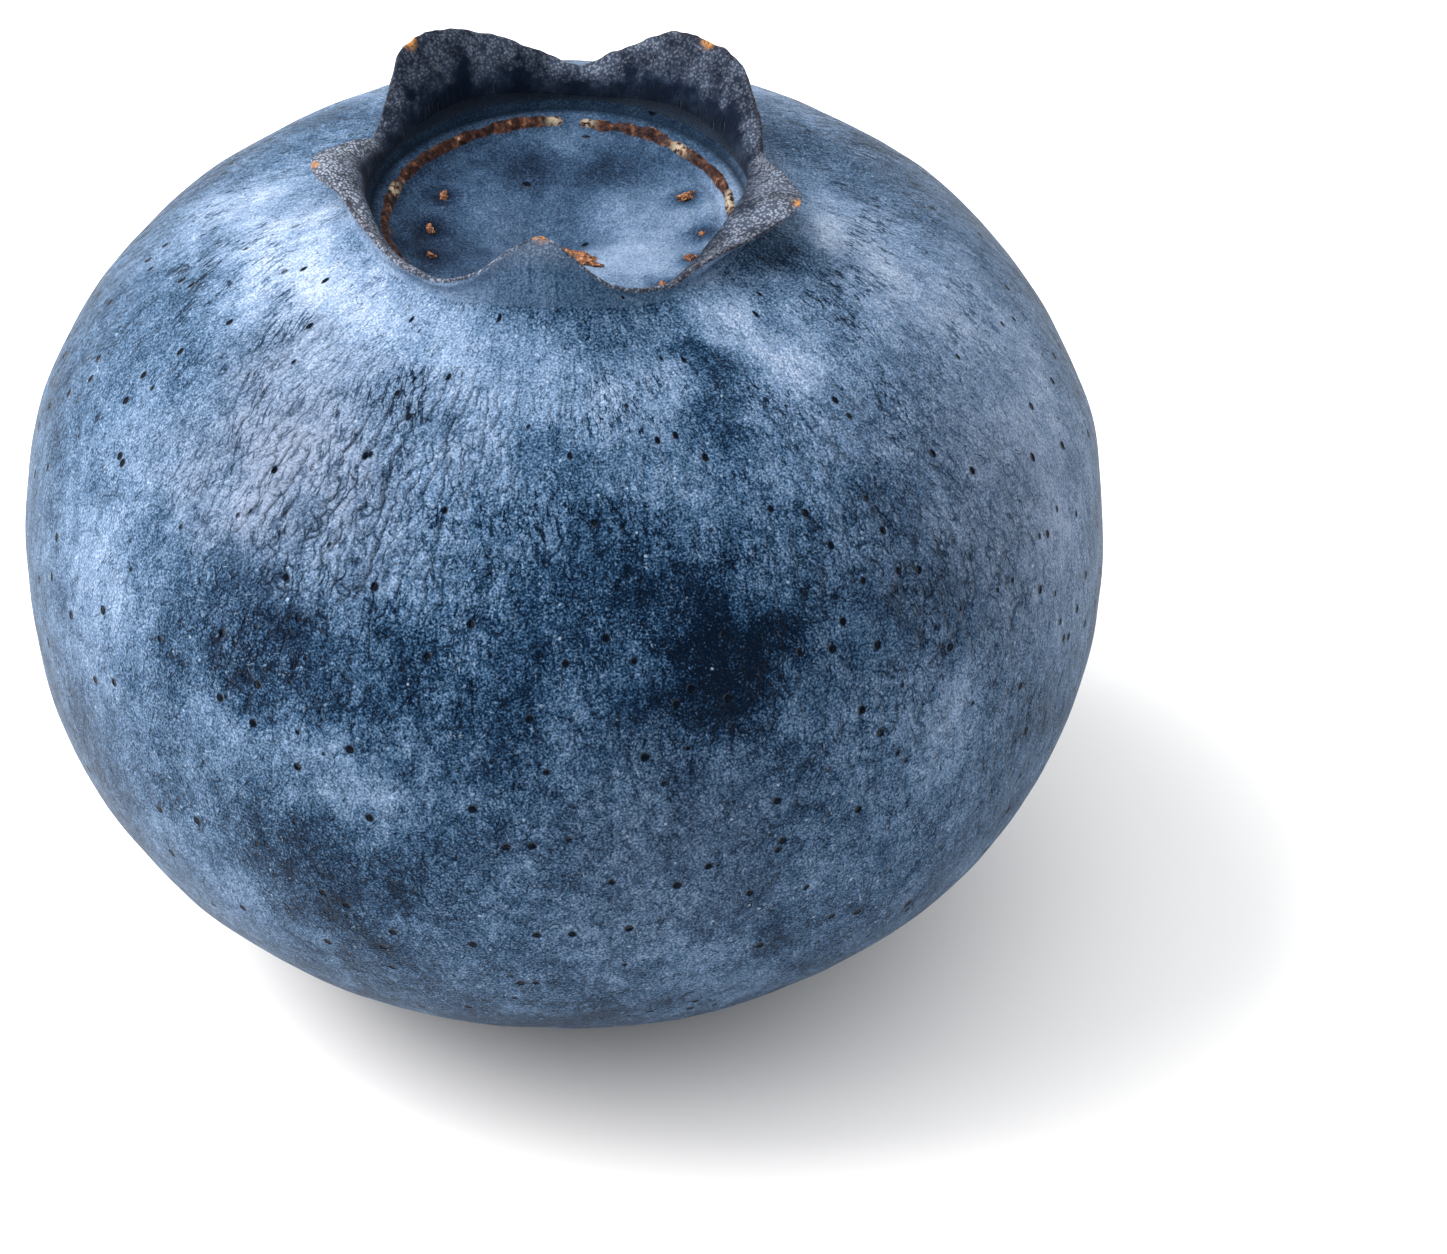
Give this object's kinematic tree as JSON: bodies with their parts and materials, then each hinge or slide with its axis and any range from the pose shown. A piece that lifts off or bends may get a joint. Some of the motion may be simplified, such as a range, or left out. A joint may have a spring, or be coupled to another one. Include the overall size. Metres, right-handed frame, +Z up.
{
  "type": "blueberry",
  "caption": "Ripe highbush blueberry standing on its stem end, its crown of dried sepals open around a sunken disc, for food scenes.",
  "frame": {"origin": "middle of the small flat patch at the stem end that the berry rests on", "axes": "+Z up through the crown, -Y towards the front, where the sepal leans in"},
  "size_m": [0.016, 0.016, 0.0135],
  "materials": {
    "berry_skin": "deep blue-black skin under a thin pale blue wax bloom, rubbed darker in a band around the middle",
    "dried_tissue": "rough, dry, orange-brown withered flower tissue"
  },
  "bodies": {
    "root": {"berry": "berry_skin", "style_stub": "dried_tissue", "stamen_crumb_01": "dried_tissue", "stamen_crumb_02": "dried_tissue", "stamen_crumb_03": "dried_tissue", "stamen_crumb_04": "dried_tissue", "stamen_crumb_05": "dried_tissue", "stamen_crumb_06": "dried_tissue", "stamen_crumb_07": "dried_tissue", "stamen_crumb_08": "dried_tissue", "stamen_crumb_09": "dried_tissue", "stamen_crumb_10": "dried_tissue"}
  },
  "joints": []
}
